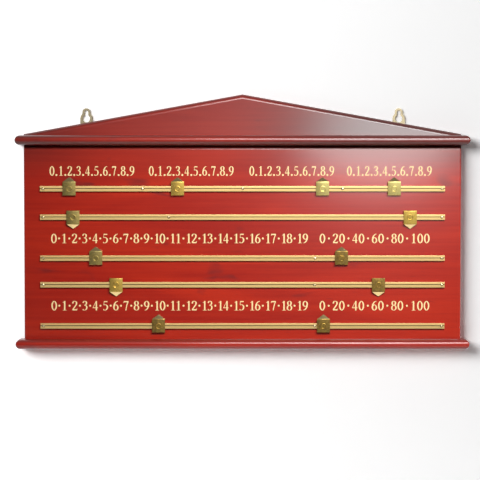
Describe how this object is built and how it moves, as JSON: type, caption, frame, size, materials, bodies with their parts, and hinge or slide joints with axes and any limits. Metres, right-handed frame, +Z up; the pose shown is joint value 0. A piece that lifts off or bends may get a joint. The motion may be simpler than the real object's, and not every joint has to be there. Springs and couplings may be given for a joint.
{
  "type": "snooker scoreboard",
  "caption": "Wall-hung wooden scoreboard with a low pediment, brass rails, slotted screws and sliding folded brass pointers with pointed tongues.",
  "frame": {"origin": "on the wall, midway between the head holes of the two hanging keyholes", "axes": "+X to the right along the board, +Y into the wall, +Z up"},
  "size_m": [0.799, 0.036, 0.4489],
  "materials": {
    "red_lacquer": "red mahogany lacquer, glossy",
    "plain_wood": "bare wood",
    "rail_brass": "bright drawn brass",
    "screw_brass": "turned brass",
    "pointer_brass": "tarnished, scratched brass",
    "rivet_brass": "worn brass",
    "plate_brass": "dull pressed brass",
    "numeral_paint": "cream paint"
  },
  "bodies": {
    "board": {"main_panel": "red_lacquer", "pediment": "red_lacquer", "top_moulding": "red_lacquer", "bottom_moulding": "red_lacquer", "hanging_plates": "plate_brass", "hanger_screws": "screw_brass", "pediment_spline": "plain_wood", "panel_spline": "plain_wood", "foot_spline": "plain_wood", "rail_1": "rail_brass", "rail_1_screws": "screw_brass", "rail_2": "rail_brass", "rail_2_screws": "screw_brass", "rail_3": "rail_brass", "rail_3_screws": "screw_brass", "rail_4": "rail_brass", "rail_4_screws": "screw_brass", "rail_5": "rail_brass", "rail_5_screws": "screw_brass"},
    "pointer_1a": {"pointer_1a_plate": "pointer_brass", "pointer_1a_shoe": "pointer_brass", "pointer_1a_rivet": "rivet_brass"},
    "pointer_1b": {"pointer_1b_plate": "pointer_brass", "pointer_1b_shoe": "pointer_brass", "pointer_1b_rivet": "rivet_brass"},
    "pointer_1c": {"pointer_1c_plate": "pointer_brass", "pointer_1c_shoe": "pointer_brass", "pointer_1c_rivet": "rivet_brass"},
    "pointer_1d": {"pointer_1d_plate": "pointer_brass", "pointer_1d_shoe": "pointer_brass", "pointer_1d_rivet": "rivet_brass"},
    "pointer_2a": {"pointer_2a_plate": "pointer_brass", "pointer_2a_shoe": "pointer_brass", "pointer_2a_rivet": "rivet_brass"},
    "pointer_2b": {"pointer_2b_plate": "pointer_brass", "pointer_2b_shoe": "pointer_brass", "pointer_2b_rivet": "rivet_brass"},
    "pointer_3a": {"pointer_3a_plate": "pointer_brass", "pointer_3a_shoe": "pointer_brass", "pointer_3a_rivet": "rivet_brass"},
    "pointer_3b": {"pointer_3b_plate": "pointer_brass", "pointer_3b_shoe": "pointer_brass", "pointer_3b_rivet": "rivet_brass"},
    "pointer_4a": {"pointer_4a_plate": "pointer_brass", "pointer_4a_shoe": "pointer_brass", "pointer_4a_rivet": "rivet_brass"},
    "pointer_4b": {"pointer_4b_plate": "pointer_brass", "pointer_4b_shoe": "pointer_brass", "pointer_4b_rivet": "rivet_brass"},
    "pointer_5a": {"pointer_5a_plate": "pointer_brass", "pointer_5a_shoe": "pointer_brass", "pointer_5a_rivet": "rivet_brass"},
    "pointer_5b": {"pointer_5b_plate": "pointer_brass", "pointer_5b_shoe": "pointer_brass", "pointer_5b_rivet": "rivet_brass"}
  },
  "joints": [
    {"name": "pointer_1a_slide", "type": "slide", "parent": "board", "child": "pointer_1a", "axis": [1, 0, 0], "range_m": [-0.03372, 0.11637]},
    {"name": "pointer_1b_slide", "type": "slide", "parent": "board", "child": "pointer_1b", "axis": [1, 0, 0], "range_m": [-0.04914, 0.10164]},
    {"name": "pointer_1c_slide", "type": "slide", "parent": "board", "child": "pointer_1c", "axis": [1, 0, 0], "range_m": [-0.12832, 0.02262]},
    {"name": "pointer_1d_slide", "type": "slide", "parent": "board", "child": "pointer_1d", "axis": [1, 0, 0], "range_m": [-0.07828, 0.07166]},
    {"name": "pointer_2a_slide", "type": "slide", "parent": "board", "child": "pointer_2a", "axis": [1, 0, 0], "range_m": [-0.04036, 0.15569]},
    {"name": "pointer_2b_slide", "type": "slide", "parent": "board", "child": "pointer_2b", "axis": [1, 0, 0], "range_m": [-0.41267, 0.04352]},
    {"name": "pointer_3a_slide", "type": "slide", "parent": "board", "child": "pointer_3a", "axis": [1, 0, 0], "range_m": [-0.08022, 0.37358]},
    {"name": "pointer_3b_slide", "type": "slide", "parent": "board", "child": "pointer_3b", "axis": [1, 0, 0], "range_m": [-0.03418, 0.16426]},
    {"name": "pointer_4a_slide", "type": "slide", "parent": "board", "child": "pointer_4a", "axis": [1, 0, 0], "range_m": [-0.11584, 0.33749]},
    {"name": "pointer_4b_slide", "type": "slide", "parent": "board", "child": "pointer_4b", "axis": [1, 0, 0], "range_m": [-0.09987, 0.09903]},
    {"name": "pointer_5a_slide", "type": "slide", "parent": "board", "child": "pointer_5a", "axis": [1, 0, 0], "range_m": [-0.19055, 0.26278]},
    {"name": "pointer_5b_slide", "type": "slide", "parent": "board", "child": "pointer_5b", "axis": [1, 0, 0], "range_m": [-0.00303, 0.19587]}
  ]
}
